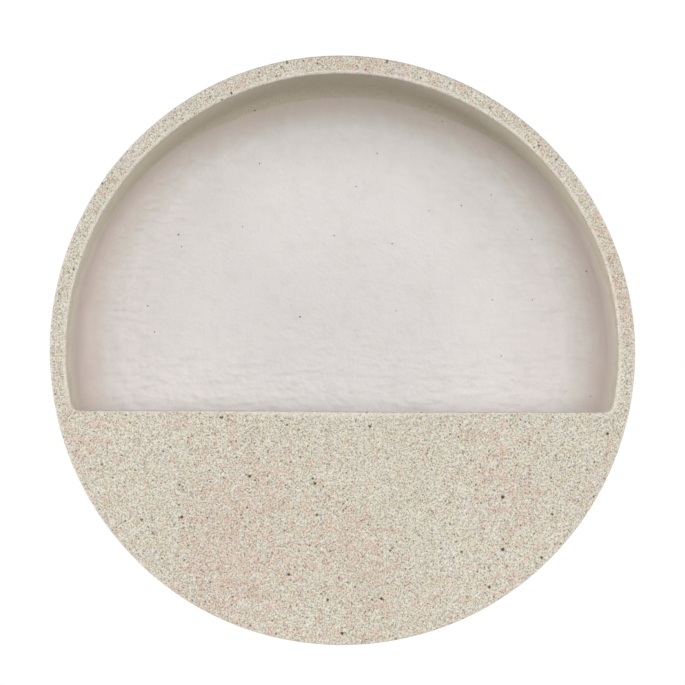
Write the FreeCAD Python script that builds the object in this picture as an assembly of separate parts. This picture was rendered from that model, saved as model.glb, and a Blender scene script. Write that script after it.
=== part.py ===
import FreeCAD, Part

import math
import os

# Round wall planter in cast stone.
# A drum with a half-moon apron is closed at the back by a bonded plate. The plate carries two keyhole
# hangers and four bumpers, and the drum has a drain hole with a rubber plug.
# Lengths are in millimetres. X runs to the right as seen from the front, Y runs to the wall, Z is up.
# The origin is midway between the two keyholes, on the rear face. The front face looks along -Y.

# Drum
OUTER_DIAMETER = 400.0
OVERALL_DEPTH = 110.0
WALL_THICKNESS = 11.0
OUTER_EDGE_RADIUS = 1.6
REAR_EDGE_RADIUS = 2.5

# Apron, the half-moon front wall that holds the soil
APRON_THICKNESS = 11.0
APRON_TOP_BELOW_CENTRE = 42.0
OPENING_CORNER_RADIUS = 6.5
OPENING_EDGE_RADIUS = 2.0
APRON_INNER_EDGE_RADIUS = 3.0
POCKET_CORNER_RADIUS = 8.0

# Back plate, with the mortar that bonds it into the drum's rebate and rounds off the inside corner
BACK_THICKNESS = 14.0
REBATE_SHOULDER = 5.0
SEAM_WIDTH = 1.5
COVE_RADIUS = 26.0

# Sealing coat brushed over the inner side of the back and up part of the cove
COAT_THICKNESS = 1.0
COAT_EDGE_FROM_WALL = 6.0

# Keyhole hangers, let into the rear face of the back plate
HANGER_SPACING = 160.0
HANGER_TOP_MARGIN = 54.0
KEYHOLE_ENTRY_DIAMETER = 10.0
KEYHOLE_SLOT_WIDTH = 5.2
KEYHOLE_LIFT = 12.0
HANGER_THICKNESS = 2.0
HANGER_WIDTH = 24.0
HANGER_SCREW_PITCH = 46.0
HANGER_END_MARGIN = 7.0
HANGER_CORNER_RADIUS = 4.0
HANGER_SEAT_CLEARANCE = 0.3
HEAD_POCKET_DEPTH = 6.0
HEAD_POCKET_MARGIN = 1.0

# Countersunk machine screws and the brass inserts that take them
SCREW_DIAMETER = 4.0
SCREW_HEAD_DIAMETER = 7.6
SCREW_LENGTH = 9.0
SCREW_HOLE_CLEARANCE = 0.25
SCREW_THREAD_CLEARANCE = 0.05
SCREW_HEAD_RIM = 0.2
SCREW_TIP_CHAMFER = 0.6
DRIVE_WIDTH = 1.0
DRIVE_LENGTH = 4.0
DRIVE_DEPTH = 1.1
INSERT_DIAMETER = 6.4
INSERT_LENGTH = 8.0
INSERT_GROOVE_DEPTH = 0.5
INSERT_GROOVE_WIDTH = 1.2
INSERT_GROOVE_PITCH = 2.8

# Rubber bumpers that keep the rear face off the wall
BUMPER_DIAMETER = 16.0
BUMPER_HEIGHT = 3.0
BUMPER_EDGE_RADIUS = 1.4
BUMPER_FROM_PLATE_EDGE = 30.0
BUMPER_ANGLES = (30.0, 150.0, 210.0, 330.0)

# Drain hole at the lowest point of the drum, and its plug
DRAIN_DIAMETER = 14.0
DRAIN_SEAT_DIAMETER = 26.0
DRAIN_SEAT_DEPTH = 4.0
PLUG_STEM_CLEARANCE = 0.1
PLUG_FLANGE_CLEARANCE = 0.6
PLUG_FLANGE_THICKNESS = 3.4
PLUG_INSIDE_REACH = 3.0
PLUG_TIP_CHAMFER = 1.2
PLUG_RIM_RADIUS = 0.8
PLUG_GRIP_WIDTH = 3.0
PLUG_GRIP_DEPTH = 2.0
PLUG_GRIP_SPACING = 9.0

# How far a cutting shape runs past the face that it cuts
OVERRUN = 1.0

# Two places nearer than this are the same place
SAME_PLACE = 1e-6

OUTER_RADIUS = OUTER_DIAMETER / 2
INNER_RADIUS = OUTER_RADIUS - WALL_THICKNESS
REBATE_RADIUS = INNER_RADIUS + REBATE_SHOULDER
PLATE_RADIUS = REBATE_RADIUS - SEAM_WIDTH
COAT_RADIUS = INNER_RADIUS - COAT_EDGE_FROM_WALL
BUMPER_RING_RADIUS = PLATE_RADIUS - BUMPER_FROM_PLATE_EDGE
FRONT_Y = -OVERALL_DEPTH
APRON_INNER_Y = FRONT_Y + APRON_THICKNESS
BACK_INNER_Y = -BACK_THICKNESS
APRON_TOP_Z = -APRON_TOP_BELOW_CENTRE
DRAIN_Y = (APRON_INNER_Y + BACK_INNER_Y) / 2
DRAIN_SEAT_Z = DRAIN_SEAT_DEPTH - OUTER_RADIUS
HANGER_HEIGHT = HANGER_SCREW_PITCH + 2 * HANGER_END_MARGIN
HANGER_MIDDLE_Z = KEYHOLE_LIFT / 2
HANGERS_ABOVE_CENTRE = OUTER_RADIUS - HANGER_TOP_MARGIN - HANGER_HEIGHT / 2 - HANGER_MIDDLE_Z

Vector = FreeCAD.Vector
ALONG_X = Vector(1, 0, 0)
ALONG_Y = Vector(0, 1, 0)
ALONG_Z = Vector(0, 0, 1)
CENTRE = Vector(0, 0, 0)


def corner_arc(before, corner, after, radius):
    """The tangent arc that rounds a corner, as its start, middle and end points."""
    back = (before - corner).normalize()
    ahead = (after - corner).normalize()
    half_angle = back.getAngle(ahead) / 2
    tangent = radius / math.tan(half_angle)
    bisector = (back + ahead).normalize()
    middle = corner + bisector * (radius / math.sin(half_angle) - radius)
    return corner + back * tangent, middle, corner + ahead * tangent


def rounded_face(corners):
    """A flat face from (point, corner radius) pairs, with straight sides between the rounded corners."""
    arcs = []
    for index, (point, radius) in enumerate(corners):
        before = corners[index - 1][0]
        after = corners[(index + 1) % len(corners)][0]
        arcs.append(corner_arc(before, point, after, radius) if radius else (point, point, point))
    edges = []
    for index, (start, middle, end) in enumerate(arcs):
        if (end - start).Length:
            edges.append(Part.Arc(start, middle, end).toShape())
        following = arcs[(index + 1) % len(arcs)][0]
        if (following - end).Length:
            edges.append(Part.LineSegment(end, following).toShape())
    return Part.Face(Part.Wire(edges))


def turned(corners):
    """A solid of revolution about the drum's axis, from (radius, y, corner radius) triples."""
    face = rounded_face([(Vector(r, y, 0), corner) for r, y, corner in corners])
    return face.revolve(CENTRE, ALONG_Y, 360)


def turned_on(axis, corners, base):
    """A solid of revolution about an axis at base, from (radius, height, corner radius) triples."""
    face = rounded_face([(Vector(r, 0, h), corner) for r, h, corner in corners])
    solid = face.revolve(CENTRE, ALONG_Z, 360)
    solid.Placement = FreeCAD.Placement(base, FreeCAD.Rotation(ALONG_Z, axis))
    return solid


def rod(radius, base, axis, length):
    """A plain round bar from base along axis."""
    return Part.makeCylinder(radius, length, base, axis)


def obround(radius, x, z_low, z_high, y, depth):
    """An upright slot with round ends, from y towards the front by depth."""
    slot = rod(radius, Vector(x, y, z_low), -ALONG_Y, depth)
    slot = slot.fuse(rod(radius, Vector(x, y, z_high), -ALONG_Y, depth))
    middle = Part.makeBox(2 * radius, depth, z_high - z_low, Vector(x - radius, y - depth, z_low))
    return slot.fuse(middle).removeSplitter()


def opening_corner():
    """The middle of the arc that rounds the opening's lower right corner, as x and z."""
    z = APRON_TOP_Z + OPENING_CORNER_RADIUS
    return math.sqrt((INNER_RADIUS - OPENING_CORNER_RADIUS) ** 2 - z ** 2), z


def opening_face(y):
    """The half-moon outline of the front opening: a round top, a straight foot and rounded corners."""
    corner = OPENING_CORNER_RADIUS
    corner_x, corner_z = opening_corner()
    edges = []
    foot_left = Vector(-corner_x, y, APRON_TOP_Z)
    foot_right = Vector(corner_x, y, APRON_TOP_Z)
    edges.append(Part.LineSegment(foot_left, foot_right).toShape())
    corner_angle = math.atan2(corner_z, corner_x)
    middle_angle = (corner_angle - math.pi / 2) / 2
    side_right = Vector(INNER_RADIUS * math.cos(corner_angle), y, INNER_RADIUS * math.sin(corner_angle))
    side_left = Vector(-side_right.x, y, side_right.z)
    bend_x = corner_x + corner * math.cos(middle_angle)
    bend_z = corner_z + corner * math.sin(middle_angle)
    edges.append(Part.Arc(foot_right, Vector(bend_x, y, bend_z), side_right).toShape())
    edges.append(Part.Arc(side_right, Vector(0, y, INNER_RADIUS), side_left).toShape())
    edges.append(Part.Arc(side_left, Vector(-bend_x, y, bend_z), foot_left).toShape())
    return Part.Face(Part.Wire(edges))


def opening_edges(shell):
    """The edges of the half-moon opening that lie in the front face."""
    rim_middle = INNER_RADIUS + WALL_THICKNESS / 2
    found = []
    for edge in shell.Edges:
        points = edge.discretize(3)
        in_front_face = all(abs(p.y - FRONT_Y) < SAME_PLACE for p in points)
        if in_front_face and all(math.hypot(p.x, p.z) < rim_middle for p in points):
            found.append(edge)
    return found


def apron_inner_round():
    """What is taken off the apron's top inner edge to round it, along the straight part of the edge."""
    radius = APRON_INNER_EDGE_RADIUS
    half, _ = opening_corner()
    start = Vector(-half, APRON_INNER_Y - radius, APRON_TOP_Z - radius)
    block = Part.makeBox(2 * half, radius + OVERRUN, radius + OVERRUN, start)
    return block.cut(rod(radius, start, ALONG_X, 2 * half))


def front_shell():
    """The drum with its rim and apron, cast in one piece and open at the back."""
    drum = turned([
        (0, FRONT_Y, 0),
        (OUTER_RADIUS, FRONT_Y, OUTER_EDGE_RADIUS),
        (OUTER_RADIUS, 0, REAR_EDGE_RADIUS),
        (0, 0, 0),
    ])
    hollow = turned([
        (0, APRON_INNER_Y, 0),
        (INNER_RADIUS, APRON_INNER_Y, POCKET_CORNER_RADIUS),
        (INNER_RADIUS, OVERRUN, 0),
        (0, OVERRUN, 0),
    ])
    opening_depth = OVERRUN + APRON_THICKNESS + POCKET_CORNER_RADIUS
    opening = opening_face(FRONT_Y - OVERRUN).extrude(ALONG_Y * opening_depth)
    rebate = rod(REBATE_RADIUS, Vector(0, BACK_INNER_Y, 0), ALONG_Y, BACK_THICKNESS + OVERRUN)
    shell = drum.cut(hollow).cut(opening).cut(rebate).removeSplitter()
    shell = shell.makeFillet(OPENING_EDGE_RADIUS, opening_edges(shell))
    shell = shell.cut(apron_inner_round())
    return shell.cut(drain_hole()).cut(drain_seat())


def drain_hole():
    """The space of the drain hole, from below the drum into the pocket."""
    below = Vector(0, DRAIN_Y, -OUTER_RADIUS - OVERRUN)
    return rod(DRAIN_DIAMETER / 2, below, ALONG_Z, WALL_THICKNESS + 2 * OVERRUN)


def drain_seat():
    """The counterbore under the drum that takes the plug's flange."""
    below = Vector(0, DRAIN_Y, -OUTER_RADIUS - OVERRUN)
    return rod(DRAIN_SEAT_DIAMETER / 2, below, ALONG_Z, DRAIN_SEAT_DEPTH + OVERRUN)


def hanger_places():
    """Names and x positions of the two hangers."""
    return (("left", -HANGER_SPACING / 2), ("right", HANGER_SPACING / 2))


def screw_heights():
    """Heights of a hanger's two screws, in the hanger's own frame."""
    return (HANGER_MIDDLE_Z - HANGER_SCREW_PITCH / 2, HANGER_MIDDLE_Z + HANGER_SCREW_PITCH / 2)


def hanger_outline(x, margin, depth):
    """The hanger's rounded rectangle, grown by margin, from the rear face towards the front by depth."""
    half_width = HANGER_WIDTH / 2 + margin
    half_height = HANGER_HEIGHT / 2 + margin
    radius = HANGER_CORNER_RADIUS + margin
    signs = ((-1, -1), (1, -1), (1, 1), (-1, 1))
    corners = []
    for across, up in signs:
        point = Vector(x + across * half_width, 0, HANGER_MIDDLE_Z + up * half_height)
        corners.append((point, radius))
    return rounded_face(corners).extrude(-ALONG_Y * depth)


def at_hangers(shape):
    """Moves a shape from the hangers' level to the drum's frame."""
    shape.translate(ALONG_Z * HANGERS_ABOVE_CENTRE)
    return shape


def back_plate():
    """The disc that closes the drum, with seats for the hangers, their screw heads and the inserts."""
    plate = rod(PLATE_RADIUS, Vector(0, BACK_INNER_Y, 0), ALONG_Y, BACK_THICKNESS)
    pocket_radius = KEYHOLE_ENTRY_DIAMETER / 2 + HEAD_POCKET_MARGIN
    for _, x in hanger_places():
        plate = plate.cut(at_hangers(hanger_outline(x, HANGER_SEAT_CLEARANCE, HANGER_THICKNESS)))
        pocket = obround(pocket_radius, x, 0, KEYHOLE_LIFT, -HANGER_THICKNESS, HEAD_POCKET_DEPTH)
        plate = plate.cut(at_hangers(pocket))
        for z in screw_heights():
            seat = rod(INSERT_DIAMETER / 2, Vector(x, -HANGER_THICKNESS, z), -ALONG_Y, INSERT_LENGTH)
            plate = plate.cut(at_hangers(seat))
    return plate


def seam_mortar():
    """The ring of mortar between the edge of the back plate and the drum."""
    base = Vector(0, BACK_INNER_Y, 0)
    ring = rod(REBATE_RADIUS, base, ALONG_Y, BACK_THICKNESS)
    return ring.cut(rod(PLATE_RADIUS, base, ALONG_Y, BACK_THICKNESS))


def cove_bead():
    """The hollow-faced bead of mortar in the corner between the drum's wall and the back plate."""
    wall_point = Vector(INNER_RADIUS, BACK_INNER_Y - COVE_RADIUS, 0)
    corner = Vector(INNER_RADIUS, BACK_INNER_Y, 0)
    plate_point = Vector(INNER_RADIUS - COVE_RADIUS, BACK_INNER_Y, 0)
    start, middle, end = corner_arc(wall_point, corner, plate_point, COVE_RADIUS)
    edges = [
        Part.LineSegment(start, corner).toShape(),
        Part.LineSegment(corner, end).toShape(),
        Part.Arc(end, middle, start).toShape(),
    ]
    return Part.Face(Part.Wire(edges)).revolve(CENTRE, ALONG_Y, 360)


def coved_inside(inset):
    """The round space in front of the back plate and its cove, drawn in by inset."""
    radius = INNER_RADIUS - inset
    back_y = BACK_INNER_Y - inset
    return turned([
        (0, APRON_INNER_Y, 0),
        (radius, APRON_INNER_Y, 0),
        (radius, back_y, COVE_RADIUS - inset),
        (0, back_y, 0),
    ])


def inner_coat():
    """The sealing coat: a thin dish on the back plate that runs up the cove to the coat's edge."""
    coat = coved_inside(0).cut(coved_inside(COAT_THICKNESS))
    reach = rod(COAT_RADIUS, Vector(0, APRON_INNER_Y, 0), ALONG_Y, BACK_INNER_Y - APRON_INNER_Y)
    return coat.common(reach)


def hanger_plate(x):
    """A pressed steel plate with a keyhole and two countersunk holes, flush with the rear face."""
    plate = hanger_outline(x, 0, HANGER_THICKNESS)
    through = HANGER_THICKNESS + 2 * OVERRUN
    plate = plate.cut(rod(KEYHOLE_ENTRY_DIAMETER / 2, Vector(x, OVERRUN, 0), -ALONG_Y, through))
    plate = plate.cut(obround(KEYHOLE_SLOT_WIDTH / 2, x, 0, KEYHOLE_LIFT, OVERRUN, through))
    for z in screw_heights():
        plate = plate.cut(countersink(x, z))
    return at_hangers(plate)


def head_cone(clearance):
    """Radius at the rear face and depth of a right-angled countersink for the screw head."""
    rear_radius = SCREW_HEAD_DIAMETER / 2 + clearance
    return rear_radius, (SCREW_HEAD_DIAMETER - SCREW_DIAMETER) / 2


def countersink(x, z):
    """The space of a countersunk screw hole through the hanger plate."""
    rear_radius, depth = head_cone(SCREW_HOLE_CLEARANCE)
    hole_radius = SCREW_DIAMETER / 2 + SCREW_HOLE_CLEARANCE
    return turned_on(-ALONG_Y, [
        (0, -OVERRUN, 0),
        (rear_radius, -OVERRUN, 0),
        (rear_radius, SCREW_HEAD_RIM, 0),
        (hole_radius, SCREW_HEAD_RIM + depth, 0),
        (hole_radius, HANGER_THICKNESS + OVERRUN, 0),
        (0, HANGER_THICKNESS + OVERRUN, 0),
    ], Vector(x, 0, z))


def hanger_screw(x, z):
    """A countersunk screw with a cross recess, its head flush with the rear face."""
    head_radius, depth = head_cone(0)
    radius = SCREW_DIAMETER / 2
    screw = turned_on(-ALONG_Y, [
        (0, 0, 0),
        (head_radius, 0, 0),
        (head_radius, SCREW_HEAD_RIM, 0),
        (radius, SCREW_HEAD_RIM + depth, 0),
        (radius, SCREW_LENGTH - SCREW_TIP_CHAMFER, 0),
        (radius - SCREW_TIP_CHAMFER, SCREW_LENGTH, 0),
        (0, SCREW_LENGTH, 0),
    ], Vector(x, 0, z))
    for across, up in ((DRIVE_LENGTH, DRIVE_WIDTH), (DRIVE_WIDTH, DRIVE_LENGTH)):
        corner = Vector(x - across / 2, -DRIVE_DEPTH, z - up / 2)
        screw = screw.cut(Part.makeBox(across, DRIVE_DEPTH + OVERRUN, up, corner))
    return screw


def hanger_screws(x):
    """The two screws of one hanger."""
    return at_hangers(Part.makeCompound([hanger_screw(x, z) for z in screw_heights()]))


def screw_insert(x, z):
    """A brass insert cast into the back plate, with grooves that key it into the stone."""
    start = Vector(x, -HANGER_THICKNESS, z)
    radius = INSERT_DIAMETER / 2
    insert = rod(radius, start, -ALONG_Y, INSERT_LENGTH)
    insert = insert.cut(rod(SCREW_DIAMETER / 2 + SCREW_THREAD_CLEARANCE, start, -ALONG_Y, INSERT_LENGTH))
    for side in (-1, 1):
        middle = INSERT_LENGTH / 2 + side * INSERT_GROOVE_PITCH / 2
        place = Vector(x, -HANGER_THICKNESS - middle + INSERT_GROOVE_WIDTH / 2, z)
        groove = rod(radius + OVERRUN, place, -ALONG_Y, INSERT_GROOVE_WIDTH)
        groove = groove.cut(rod(radius - INSERT_GROOVE_DEPTH, place, -ALONG_Y, INSERT_GROOVE_WIDTH))
        insert = insert.cut(groove)
    return insert


def screw_inserts(x):
    """The two inserts of one hanger."""
    return at_hangers(Part.makeCompound([screw_insert(x, z) for z in screw_heights()]))


def wall_bumper(angle):
    """A round rubber bumper stuck to the rear face."""
    turn = math.radians(angle)
    base = Vector(BUMPER_RING_RADIUS * math.cos(turn), 0, BUMPER_RING_RADIUS * math.sin(turn))
    return turned_on(ALONG_Y, [
        (0, 0, 0),
        (BUMPER_DIAMETER / 2, 0, 0),
        (BUMPER_DIAMETER / 2, BUMPER_HEIGHT, BUMPER_EDGE_RADIUS),
        (0, BUMPER_HEIGHT, 0),
    ], base)


def drain_plug():
    """A rubber plug with a flange that sits flush in the counterbore and two grip slots to pull it by."""
    stem_radius = DRAIN_DIAMETER / 2 - PLUG_STEM_CLEARANCE
    flange_radius = DRAIN_SEAT_DIAMETER / 2 - PLUG_FLANGE_CLEARANCE
    stem_length = WALL_THICKNESS - DRAIN_SEAT_DEPTH + PLUG_INSIDE_REACH
    plug = turned_on(ALONG_Z, [
        (0, -PLUG_FLANGE_THICKNESS, 0),
        (flange_radius, -PLUG_FLANGE_THICKNESS, PLUG_RIM_RADIUS),
        (flange_radius, 0, 0),
        (stem_radius, 0, 0),
        (stem_radius, stem_length - PLUG_TIP_CHAMFER, 0),
        (stem_radius - PLUG_TIP_CHAMFER, stem_length, 0),
        (0, stem_length, 0),
    ], Vector(0, DRAIN_Y, DRAIN_SEAT_Z))
    for side in (-1, 1):
        x = side * PLUG_GRIP_SPACING / 2 - PLUG_GRIP_WIDTH / 2
        low = DRAIN_SEAT_Z - PLUG_FLANGE_THICKNESS - OVERRUN
        corner = Vector(x, DRAIN_Y - stem_radius, low)
        slot = Part.makeBox(PLUG_GRIP_WIDTH, 2 * stem_radius, PLUG_GRIP_DEPTH + OVERRUN, corner)
        plug = plug.cut(slot)
    return plug


def all_pieces():
    """Every piece by node name, in the drum's frame."""
    pieces = {
        "front_shell": front_shell(),
        "back_plate": back_plate(),
        "seam_mortar": seam_mortar(),
        "cove_bead": cove_bead(),
        "inner_coat": inner_coat(),
        "drain_plug": drain_plug(),
    }
    for side, x in hanger_places():
        pieces["keyhole_plate_" + side] = hanger_plate(x)
        pieces["plate_screws_" + side] = hanger_screws(x)
        pieces["screw_inserts_" + side] = screw_inserts(x)
    for number, angle in enumerate(BUMPER_ANGLES, 1):
        pieces["wall_bumper_" + str(number)] = wall_bumper(angle)
    return pieces


def main():
    os.makedirs("parts", exist_ok=True)
    for name, shape in all_pieces().items():
        shape.translate(-ALONG_Z * HANGERS_ABOVE_CENTRE)
        shape.exportStep(os.path.join("parts", name + ".step"))
        print(name, len(shape.Solids), "closed" if shape.isValid() else "broken")


main()
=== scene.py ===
import contextlib
import math

import bmesh
import bpy
import numpy as np
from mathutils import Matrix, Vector


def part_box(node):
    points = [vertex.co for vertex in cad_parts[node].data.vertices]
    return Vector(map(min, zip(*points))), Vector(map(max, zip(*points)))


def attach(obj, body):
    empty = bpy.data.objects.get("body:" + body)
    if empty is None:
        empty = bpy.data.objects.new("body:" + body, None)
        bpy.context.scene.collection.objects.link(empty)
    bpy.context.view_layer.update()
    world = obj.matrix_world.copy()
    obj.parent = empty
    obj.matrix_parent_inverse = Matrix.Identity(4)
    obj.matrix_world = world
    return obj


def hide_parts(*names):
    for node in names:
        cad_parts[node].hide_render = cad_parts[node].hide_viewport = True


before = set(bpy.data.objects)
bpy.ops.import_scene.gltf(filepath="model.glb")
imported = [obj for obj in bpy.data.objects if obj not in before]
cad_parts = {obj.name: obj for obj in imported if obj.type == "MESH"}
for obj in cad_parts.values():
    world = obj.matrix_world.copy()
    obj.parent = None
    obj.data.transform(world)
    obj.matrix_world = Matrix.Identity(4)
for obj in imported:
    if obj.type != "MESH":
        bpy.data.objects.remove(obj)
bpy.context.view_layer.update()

MM = 0.001

# Drum: sizes of the cast body as the photograph shows it, a little inside the solid's
CENTRE_X = 0.0
CENTRE_Z = -110 * MM
OUTER_RADIUS = 198.8 * MM
WALL = 11.4 * MM
INNER_RADIUS = OUTER_RADIUS - WALL
FRONT = -109.6 * MM
APRON_THICKNESS = 11 * MM
APRON_DROP = 41.2 * MM
APRON_TILT = 0.5 * MM
OPENING_CORNER = 6.5 * MM
FRONT_EDGE = 1.6 * MM
OPENING_EDGE = 2.0 * MM
APRON_INNER_EDGE = 3 * MM
POCKET_CORNER = 8 * MM
REAR_EDGE = 2.5 * MM
BACK_FACE = -14 * MM
REBATE_RADIUS = 194 * MM
COVE = 26 * MM
WALL_RUN = BACK_FACE - COVE - FRONT - OPENING_EDGE

# Hand-made unevenness of the round: height and phase of two slow waves around it
OVAL_HEIGHT = 0.80 * MM
OVAL_PHASE = math.radians(152)
TRIANGLE_HEIGHT = 0.33 * MM
TRIANGLE_PHASE = math.radians(42)
INNER_WAVE_SHARE = 0.3

# Swells and dents of the casting, on drum and cove alike
CASTING = {"Swell_height": 0.5 * MM, "Swell_size": 60 * MM, "Dent_height": 0.22 * MM, "Dent_size": 9 * MM}

# How worn the outer edges are, how pale the opening's lip is from wear and a painted highlight along it, and
# the cover of bare stone
EDGE_WEAR = 0.3
LIP_WEAR_AND_HIGHLIGHT = 0.8
BARE_COVER = -1.0

# Drain
DRAIN_DEPTH = -56.5 * MM
DRAIN_RADIUS = 7 * MM
SEAT_RADIUS = 13 * MM
SEAT_TOP = -306 * MM
DRAIN_TOP = -285 * MM
DRAIN_BOTTOM = -325 * MM

# Cove and coat
COVE_BURIED = 0.4 * MM
COAT_THICKNESS = 0.9 * MM
COAT_BURIED = 0.5 * MM
COAT_DEEPEST = 0.7 * MM
COAT_REACH = 185.0 * MM
COAT_TAPER = 14 * MM
COAT_SINK = 0.4 * MM
COAT_REAR_STEPS = (1.0, 0.96, 0.92, 0.88, 0.84)

# Where the coat lies, as runs in from the lip; from POCKET_SINE below level its line is the pocket's
SMOOTH_RUN = 9 * MM
COAT_LINE_TOP = 86 * MM
COAT_LINE_SIDE = 4 * MM
COAT_LINE_POCKET = 16 * MM
POCKET_SINE = 0.2
COAT_THIN_END = 85 * MM
COAT_THIN_LEAST = 8 * MM
COAT_FULL = 112 * MM

# Brush strokes and ridges of the coat, strongest in its low part and in its edge part
BRUSHING = {"Stroke_height": 1.6 * MM, "Ridge_height": 2.7 * MM, "Swell_height": 0.3 * MM}
STROKE_WIDTH = 4 * MM
STROKE_PER_RADIAN = 30 * MM
RIDGE_WIDTH = 4.5 * MM
RIDGE_STRETCH = 0.35
COAT_SWELL = 40 * MM
LOW_PART = (-40 * MM, 60 * MM)
EDGE_PART = (110 * MM, 170 * MM)
LEAST_WORKED = 0.3

# Mineral grains that stand on the stone's faces, but not on its rear, its edges or its smoothed wall
GRAIN_SCATTER = {"Density": 8500.0, "Smallest": 0.32 * MM, "Largest": 1.7 * MM, "Seed": 5}
GRAIN_DEEPEST = -4 * MM
GRAIN_COVER = -0.5
GRAIN_WEAR = 0.1
GRAIN_RARITY = 4.0
GRAIN_SHAPE = (1.0, 0.8, 0.25)
GRAIN_PRESSED = -0.16
GRAIN_SPIN = (0, 0, 6.28)
TONE_SEED = 11

# Dark grains in cove and coat, in millimetres: across and up from the drum's centre, and size
COVE_SPECKS = ((-62.5, 171.6, 0.90), (174.6, 56.3, 0.80), (178.2, -33.0, 0.80))
COAT_SPECKS = (
    (-59.2, 134.2, 0.62), (-117.5, 83.1, 0.70), (-115.4, 74.4, 0.50), (-71.4, 88.8, 0.52),
    (-5.8, 82.4, 0.60), (-139.9, 31.9, 0.62), (-134.8, 13.2, 0.55), (-30.3, 24.0, 0.75),
    (10.0, 117.7, 0.50), (85.7, 104.0, 0.60), (36.0, 76.6, 0.62), (136.2, 79.5, 0.52),
    (107.3, 111.9, 0.48), (126.1, 86.7, 0.46), (108.0, 36.2, 0.52), (136.9, 36.2, 0.48),
    (38.9, 28.3, 0.46), (114.5, -4.1, 0.45), (72.0, 163.8, 0.55), (25.2, 141.5, 0.50),
    (62.6, 100.4, 0.45),
)
SPECK_TONE = 0.35
SPECK_SHAPE = (1.0, 0.3, 0.75)
SPECK_SPIN = (0, 6.28, 0)

# Hangers, plug and bumpers
PLATE_EDGE = 0.25 * MM
SCREW_EDGE = 0.12 * MM
PLUG_EDGE = 0.35 * MM
WELD_DISTANCE = 0.001 * MM
FLAT_ANGLE = math.radians(0.5)
BEVEL_ANGLE = math.radians(35)
BUMPER_RADIUS = 8 * MM
BUMPER_HEIGHT = 3 * MM
BUMPER_EDGE = 1.4 * MM
BUMPER_DISH = 0.15 * MM
BUMPER_DISH_RADIUS = 0.5 * BUMPER_RADIUS
BUMPER_FOOT_RADIUS = 0.98 * BUMPER_RADIUS
BUMPER_FOOT_HEIGHT = 0.3 * MM

# Mesh densities, and the angles above which an edge is shaded sharp
DRUM_COLUMNS = 480
FINE_ANGLES = 20000
LEAST_SINE = 1e-6
CORNER_WIDTH = 0.01
CORNER_WEIGHT = 3
FRONT_FACE_ROWS = 52
LIP_ROWS = 20
LIP_RUN = 14 * MM
INNER_EDGE_ROWS = 12
POCKET_ROWS = 16
WALL_ROWS = 52
REBATE_ROWS = (2, 3, 4)
OUTER_WALL_ROWS = 26
EDGE_ROWS = 6
COVE_COLUMNS = 360
COVE_ROWS = 24
COVE_REAR_ROWS = 6
COAT_CELLS = 290
DRAIN_SIDES = 64
BUMPER_SIDES = 48
SHARP_ANGLE = math.radians(40)
BUMPER_SHARP_ANGLE = math.radians(50)

# Stone: sizes in its pattern, with the fine grain turned out of the noise's own grid, and its relief
FINE_GRAIN = 1.0 * MM
GRAIN_TURN = (0.6, 0.9, 0.4)
COARSE_GRAIN = 2.0 * MM
COARSE_SHARE = 0.02
WARM_BLOTCH = 6.5 * MM
WARM_REGION = 90 * MM
WARM_REGION_SHARE = 0.5
OCHRE_BLOTCH = 9 * MM
BROAD_SHADE = 80 * MM
RUBBED_PATCH = 6 * MM
STONE_RELIEF = (0.25 * MM, 0.6)
STONE_ROUGH = (0.82, 0.97)
STONE_GLOSS = 0.3

# Stone: the warmer patch low on the left of the apron and painted light that makes the left side paler, with
# reach and strength
WARM_PATCH = ((-96 * MM, FRONT, -252 * MM), 90 * MM, 0.12)
PAINTED_LIGHT_LEFT_SIDE = ((-200 * MM, FRONT, -150 * MM), 190 * MM, 0.5)

# Stone: tones and tints as stops of (position, colour), with colours as they look on screen
STONE_TONES = (
    (0.30, (172, 164, 149)), (0.42, (197, 190, 177)), (0.54, (210, 204, 191)), (0.72, (224, 220, 209)),
)
WARM_TINT = ((0.535, (255, 255, 254)), (0.605, (255, 243, 242)))
OCHRE_TINT = ((0.52, (255, 255, 255)), (0.64, (255, 252, 245)))
# Tint from broad tone changes and from the painted light of the paler left side
BROAD_TONE_AND_LIGHT_TINT = ((0.3, (248, 248, 247)), (0.9, (255, 255, 255)))
# Pale tone of worn edges, which on the opening's lip is also a painted highlight
RUBBED_AND_HIGHLIGHT_TONE = (231, 223, 213)
# Tone of the smoothed inner wall, darkened partly as painted shade inside the drum
SMOOTHED_AND_SHADED_TONE = (202, 193, 174)
SMOOTHED_COVER = (-0.9, -0.1)
SMOOTHED_SHARE = 0.75

# Stone: grains in its pattern by spacing, reach, softness, shift, strength, colour and pit depth
STONE_SPECKS = (
    (2.4 * MM, 0.75 * MM, 0.5, 6.1, 0.5, (246, 242, 235), 0),
    (14 * MM, 2.6 * MM, 0.9, 9.1, 0.35, (128, 120, 108), 0),
    (1.5 * MM, 0.66 * MM, 0.5, 1.3, 0.8, (122, 111, 95), 0.3),
    (3.0 * MM, 0.90 * MM, 0.4, 2.9, 0.75, (86, 77, 65), 0.3),
    (9 * MM, 1.6 * MM, 0.4, 5.3, 0.9, (52, 47, 41), 0),
)

# Coat: sizes in its pattern, tones from thin to thick, and how it clings to the stone where it is thin
COAT_CLOUD = 45 * MM
COAT_MOTTLE = 3.0 * MM
COAT_BRUSH = 2.4 * MM
COAT_DRIFT = 12 * MM
COAT_DRIFT_SHARE = 0.35
COAT_CLINGING_SHARE = 0.2
COAT_BEGINS = 0.10
COVER_BEGINS = 0.03
COAT_RELIEF = (1.3 * MM, 0.6)
COAT_ROUGH = (0.52, 0.72)
COAT_TONES = (
    (0.20, (214, 202, 190)), (0.45, (214, 200, 193)), (0.62, (216, 208, 201)),
    (0.75, (220, 216, 210)), (0.87, (224, 222, 219)), (1.00, (234, 230, 229)),
)
CLOUD_TINT = ((0.3, (251, 251, 251)), (0.7, (255, 255, 255)))
MOTTLE_TONE = (206, 201, 199)
MOTTLE_SHARE = 0.12

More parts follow.
